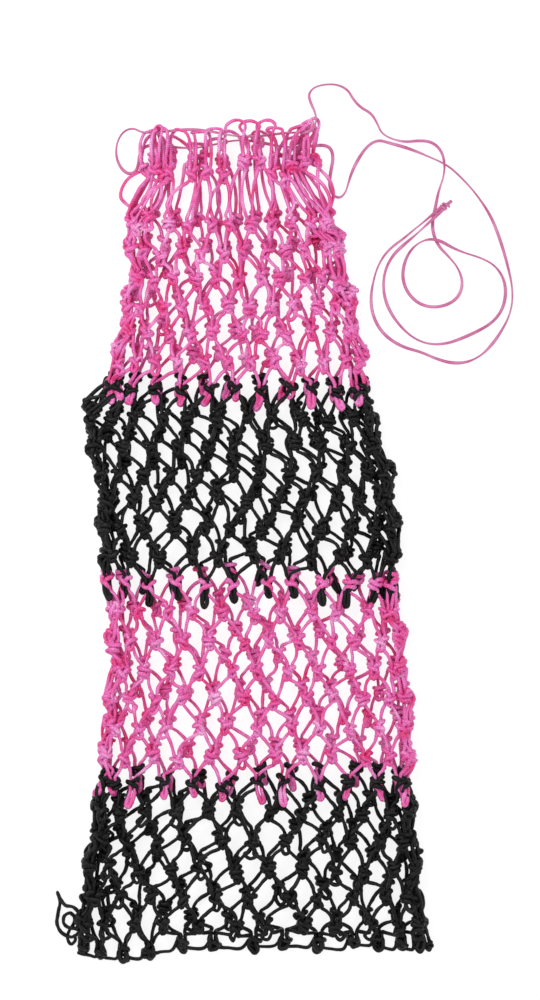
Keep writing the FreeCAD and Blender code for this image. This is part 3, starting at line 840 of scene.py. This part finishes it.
SLACK_TURN = (
    (-122, 484, 27), (-132, 484, 26.6), (-142, 490, 25), (-154, 487, 21), (-162, 475, 17),
    (-164, 460, 12), (-159.5, 446, 7.5), (-150, 437.5, 4.4), (-140.5, 440, 3.4), (-137, 450, 3.6),
    (-136, 461, 5), (-131.5, 469, 6.6), (-124.5, 472, 7), (-118, 472, 7),
)
# where part.py's own frame stands in the row frame: the front run starts where the turn does
RUN_LOW, RUN_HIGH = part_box("drawstring_front_run")
SHIFT = np.array([
    RUN_LOW.x / MM - SLACK_TURN[0][0],
    (RUN_LOW.y + RUN_HIGH.y) / 2 / MM - SLACK_TURN[0][1],
    0.0,
])


def nurbs_line(route):
    """Points along the smooth NURBS spline that a given route gives."""
    curve = bpy.data.curves.new("route", "CURVE")
    curve.dimensions = "3D"
    curve.resolution_u = 12
    spline = curve.splines.new("NURBS")
    spline.points.add(len(route) - 1)
    for point, place in zip(spline.points, route):
        point.co = (*((np.array(place) + SHIFT) * MM), 1.0)
    spline.order_u = 3
    spline.use_endpoint_u = True
    holder = bpy.data.objects.new("route", curve)
    bpy.context.scene.collection.objects.link(holder)
    bpy.context.view_layer.update()
    seen = holder.evaluated_get(bpy.context.evaluated_depsgraph_get())
    mesh = bpy.data.meshes.new_from_object(seen)
    line = np.array([v.co for v in mesh.vertices])
    bpy.data.objects.remove(holder)
    bpy.data.curves.remove(curve)
    bpy.data.meshes.remove(mesh)
    steps = np.linalg.norm(np.diff(line, axis=0), axis=1)
    along = np.concatenate([[0.0], np.cumsum(steps)])
    even = np.linspace(0, along[-1], int(along[-1] / CORD_STEP) + 1)
    return np.stack([np.interp(even, along, line[:, i]) for i in range(3)], axis=1)


def flat_cord(line, phase):
    """The drawstring is a flat braid, which turns over itself now and then as it lies."""
    along = np.arange(len(line)) * CORD_STEP
    turn = 1.1 * np.sin(along * 31 + phase) + 1.4 * np.sin(along * 11.7 + 2.1 * phase) + along * 9
    return swept(line, CORD_WIDTH / 2, CORD_WIDTH * 0.27, CORD_SIDES, turn=turn)


def cord_piece(name, line, phase):
    piece = Piece()
    piece.add(*flat_cord(line, phase))
    return piece.make(name, CORD_PINK)


def run_line(node, sag, waves):
    """A run of the drawstring through the mouth loops, with the slight wave that they give it."""
    low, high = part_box(node)
    y, z = (low.y + high.y) / 2, (low.z + high.z) / 2
    x = np.arange(low.x, high.x, CORD_STEP)
    share = (x - low.x) / (high.x - low.x)
    bow = sag * MM * np.sin(share * math.pi * waves + 0.35) * np.sin(share * math.pi)
    line = np.stack([x, y + bow, np.full_like(x, z)], axis=1)
    return np.vstack([line, [[high.x, y, z]]])


def make_runs_and_slack_turn():
    """What lies in and beside the mouth: it moves least at the left, and wholly at the right."""
    for node, phase, sag, waves in (
        ("drawstring_front_run", 0.4, 5.5, 2.0), ("drawstring_back_run", 2.0, -6.0, 2.6),
    ):
        shown = cord_piece(f"{node}_cord", run_line(node, sag, waves), phase)
        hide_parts(node)
        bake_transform(shown)
    turn_line = nurbs_line(SLACK_TURN)
    shown = cord_piece("drawstring_slack_turn_cord", turn_line, 1.2)
    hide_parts("drawstring_slack_turn")
    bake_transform(shown)


def make_end_knot():
    """The two tails' ends, tied together, with a short stub that sticks out beyond."""
    knot_low, knot_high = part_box("drawstring_end_knot")
    middle = (knot_low + knot_high) / 2 - Vector((4 * MM, 4.5 * MM, 0))
    knot = Piece()
    tie = overhand((middle.x, middle.y, 5.4 * MM), (0.74, 0.67), 4.4 * MM)
    tie = smooth_line(tie, 1.0 * MM)
    knot.add(*swept(tie, CORD_WIDTH / 2, CORD_WIDTH * 0.32, CORD_SIDES))
    stub = [
        (middle.x + x * MM, middle.y + y * MM, z * MM)
        for x, y, z in ((-6, -6, 5), (0, 0, 5.2), (5, 4, 4), (8, 6.5, 2.8))
    ]
    stub = smooth_line(stub, 1.2 * MM)
    knot.add(*swept(stub, CORD_WIDTH / 2, CORD_WIDTH * 0.35, CORD_SIDES))
    shown = knot.make("drawstring_end_knot_cord", CORD_PINK)
    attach(shown, "drawstring")
    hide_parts("drawstring_end_knot")
    return shown


def make_drawstring():
    """One flat cord: through the loops, round the left fold, and two tails tied at their ends."""
    make_runs_and_slack_turn()
    knot_piece = make_end_knot()
    for node, route, phase, pieces in (
        ("drawstring_long_tail", LONG_TAIL, 0.0, [knot_piece]),
        ("drawstring_short_tail", SHORT_TAIL, 3.0, []),
    ):
        line = nurbs_line(route)
        shown = cord_piece(f"{node}_cord", line, phase)
        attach(shown, "drawstring")
        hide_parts(node)


# ---------------------------------------------------------------- floor, light and camera
PAPER_GREY, PAPER_GLOW, SKY_GLOW = 0.2, 0.86, 0.67
FLOOR_SIZE = 12
LAMPS = (  # name, place, size, power
    ("key", (-0.9, 0.9, 1.8), 0.9, 20.0),
    ("fill", (1.3, -0.6, 1.7), 1.4, 7.0),
)
VIEW_CENTRE = (20.4, 47.4, 0.0)  # in part.py's frame, in millimetres
VIEW_HEIGHT = 1.2  # of the floor that the frame takes in, in metres
LENS, SENSOR = 85, 36


def make_stage():
    """A sheet of white paper on the floor, under soft white light from all round."""
    bpy.ops.mesh.primitive_plane_add(size=FLOOR_SIZE, location=(0, 0, 0))
    floor = bpy.context.object
    floor.name = "floor"
    paper = bpy.data.materials.new("paper")
    paper.use_nodes = True
    shader = paper.node_tree.nodes["Principled BSDF"]
    shader.inputs["Base Color"].default_value = (PAPER_GREY, PAPER_GREY, PAPER_GREY, 1)
    shader.inputs["Roughness"].default_value = 0.9
    shader.inputs["Specular IOR Level"].default_value = 0.1
    shader.inputs["Emission Color"].default_value = (1, 1, 1, 1)
    shader.inputs["Emission Strength"].default_value = PAPER_GLOW
    floor.data.materials.append(paper)
    world = bpy.data.worlds.new("studio")
    bpy.context.scene.world = world
    world.use_nodes = True
    sky = world.node_tree.nodes["Background"]
    sky.inputs["Color"].default_value = (1, 1, 1, 1)
    sky.inputs["Strength"].default_value = SKY_GLOW
    for name, place, size, power in LAMPS:
        lamp = bpy.data.lights.new(name, "AREA")
        lamp.shape = "DISK"
        lamp.size = size
        lamp.energy = power
        holder = bpy.data.objects.new(name, lamp)
        holder.location = place
        holder.rotation_euler = (-Vector(place)).to_track_quat("-Z", "Y").to_euler()
        bpy.context.scene.collection.objects.link(holder)


def make_camera():
    """Straight down, from far enough that the net's own height hardly shows."""
    lens = bpy.data.cameras.new("camera")
    lens.lens = LENS
    lens.sensor_width = SENSOR
    holder = bpy.data.objects.new("camera", lens)
    centre = (np.array(VIEW_CENTRE) + SHIFT) * MM
    holder.location = (centre[0], centre[1], VIEW_HEIGHT * LENS / SENSOR)
    bpy.context.scene.collection.objects.link(holder)
    bpy.context.scene.camera = holder
    bpy.context.scene.view_settings.view_transform = "Standard"


make_camera()
make_drawstring()
make_mouth_loops()
make_courses()
make_hem()
make_strays()
make_stage()
